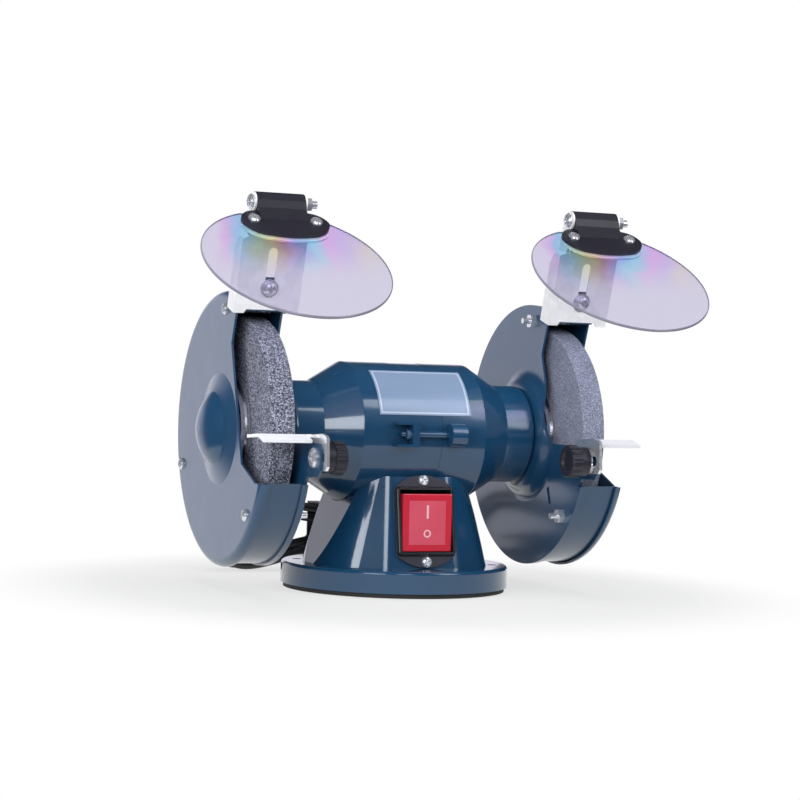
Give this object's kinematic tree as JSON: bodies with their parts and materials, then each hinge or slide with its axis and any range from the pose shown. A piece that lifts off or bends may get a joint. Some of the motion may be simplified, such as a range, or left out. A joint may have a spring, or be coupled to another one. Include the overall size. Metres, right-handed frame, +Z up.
{
  "type": "bench grinder",
  "caption": "Bench grinder with a coarse and a fine wheel in open-fronted guards, adjustable tool rests and hinged eye shields, on a round pedestal base with a rocker switch.",
  "frame": {"origin": "centre of the base, on the underside of the foot", "axes": "+X along the spindle towards the user's right, +Y from the user towards the back, +Z up"},
  "size_m": [0.349, 0.3129, 0.2597],
  "materials": {
    "blue_paint": "glossy deep petrol blue enamel",
    "black_rubber": "matt black",
    "floor_steel": "plain sheet",
    "zinc_steel": "bright zinc plate",
    "laminations": "blue enamel over stacked steel sheets",
    "windings": "enamelled copper wire",
    "label_film": "blue-grey film, no words",
    "ground_steel": "ground",
    "bright_flange": "bright plated",
    "coarse_abrasive": "coarse grey grit",
    "fine_abrasive": "fine grey grit",
    "blotter_paper": "plain card",
    "galvanised_steel": "galvanised sheet",
    "rest_steel": "bright plated sheet",
    "black_plastic": "satin black moulding",
    "clear_shield": "clear polycarbonate sheet",
    "switch_grey": "dark grey enamel",
    "frame_black": "black moulding",
    "rocker_red": "red moulding",
    "window_clear": "clear window over red",
    "can_metal": "drawn can",
    "cord_sheath": "black flexible cord",
    "pin_brass": "plated pins"
  },
  "bodies": {
    "housing": {"base_casting": "blue_paint", "bottom_plate": "floor_steel", "foot_pad": "black_rubber", "housing_screws": "zinc_steel", "capacitor": "can_metal", "terminal_block": "black_plastic", "left_end_bell": "blue_paint", "right_end_bell": "blue_paint", "stator_core": "laminations", "stator_windings": "windings", "tie_bolts": "blue_paint", "nameplate": "label_film", "left_guard_disc": "blue_paint", "right_guard_disc": "blue_paint", "left_guard_band": "blue_paint", "right_guard_band": "blue_paint", "left_guard_cover": "blue_paint", "right_guard_cover": "blue_paint", "left_guard_screws": "zinc_steel", "right_guard_screws": "zinc_steel", "bracket_screws": "zinc_steel", "rest_bolts": "zinc_steel", "switch_plate": "switch_grey", "switch_frame": "frame_black", "switch_screws": "zinc_steel", "strain_relief": "black_rubber", "cord_lead": "cord_sheath", "cord_hank": "cord_sheath", "plug_body": "black_plastic", "plug_pins": "pin_brass", "hank_tie": "black_plastic", "bearing_outer_rings": "ground_steel"},
    "spindle": {"spindle_shaft": "ground_steel", "rotor_core": "laminations", "left_wheel": "coarse_abrasive", "right_wheel": "fine_abrasive", "wheel_flanges": "bright_flange", "blotters": "blotter_paper", "spindle_nuts": "zinc_steel", "bearing_inner_rings": "ground_steel"},
    "rocker": {"switch_rocker": "rocker_red", "switch_window": "window_clear"},
    "left_bracket": {"left_shield_bracket": "galvanised_steel", "left_hinge_bolt": "zinc_steel"},
    "left_shield": {"left_shield_clamp": "black_plastic", "left_eye_shield": "clear_shield", "left_shield_backing": "galvanised_steel", "left_shield_screws": "zinc_steel"},
    "left_tilt": {"left_rest_washer": "zinc_steel"},
    "left_rest": {"left_tool_rest": "rest_steel"},
    "left_knob": {"left_rest_knob": "black_plastic"},
    "right_bracket": {"right_shield_bracket": "galvanised_steel", "right_hinge_bolt": "zinc_steel"},
    "right_shield": {"right_shield_clamp": "black_plastic", "right_eye_shield": "clear_shield", "right_shield_backing": "galvanised_steel", "right_shield_screws": "zinc_steel"},
    "right_tilt": {"right_rest_washer": "zinc_steel"},
    "right_rest": {"right_tool_rest": "rest_steel"},
    "right_knob": {"right_rest_knob": "black_plastic"}
  },
  "joints": [
    {"name": "spindle_spin", "type": "hinge", "parent": "housing", "child": "spindle", "pos_m": [0, 0, 0.1065], "axis": [1, 0, 0], "continuous": true},
    {"name": "left_bracket_slide", "type": "slide", "parent": "housing", "child": "left_bracket", "axis": [0, -0.2924, 0.9563], "range_m": [-0.011, 0]},
    {"name": "left_shield_hinge", "type": "hinge", "parent": "left_bracket", "child": "left_shield", "pos_m": [-0.1135, -0.05897, 0.25319], "axis": [-1, 0, 0], "range_deg": [-15, 50]},
    {"name": "left_rest_tilt", "type": "hinge", "parent": "housing", "child": "left_tilt", "pos_m": [-0.094, -0.097, 0.0922], "axis": [1, 0, 0], "range_deg": [-5, 10]},
    {"name": "left_rest_slide", "type": "slide", "parent": "left_tilt", "child": "left_rest", "axis": [0, 0.9976, -0.0698], "range_m": [-0.008, 0.0015]},
    {"name": "left_knob_turn", "type": "hinge", "parent": "housing", "child": "left_knob", "pos_m": [-0.086, -0.097, 0.0922], "axis": [1, 0, 0], "continuous": true},
    {"name": "right_bracket_slide", "type": "slide", "parent": "housing", "child": "right_bracket", "axis": [0, -0.2924, 0.9563], "range_m": [-0.011, 0]},
    {"name": "right_shield_hinge", "type": "hinge", "parent": "right_bracket", "child": "right_shield", "pos_m": [0.1135, -0.05897, 0.25319], "axis": [-1, 0, 0], "range_deg": [-15, 50]},
    {"name": "right_rest_tilt", "type": "hinge", "parent": "housing", "child": "right_tilt", "pos_m": [0.094, -0.097, 0.0922], "axis": [1, 0, 0], "range_deg": [-5, 10]},
    {"name": "right_rest_slide", "type": "slide", "parent": "right_tilt", "child": "right_rest", "axis": [0, 0.9976, -0.0698], "range_m": [-0.008, 0.0015]},
    {"name": "right_knob_turn", "type": "hinge", "parent": "housing", "child": "right_knob", "pos_m": [0.086, -0.097, 0.0922], "axis": [1, 0, 0], "continuous": true},
    {"name": "switch_rock", "type": "hinge", "parent": "housing", "child": "rocker", "pos_m": [0.0015, -0.04156, 0.04779], "axis": [-1, 0, 0], "range_deg": [0, 18]}
  ]
}
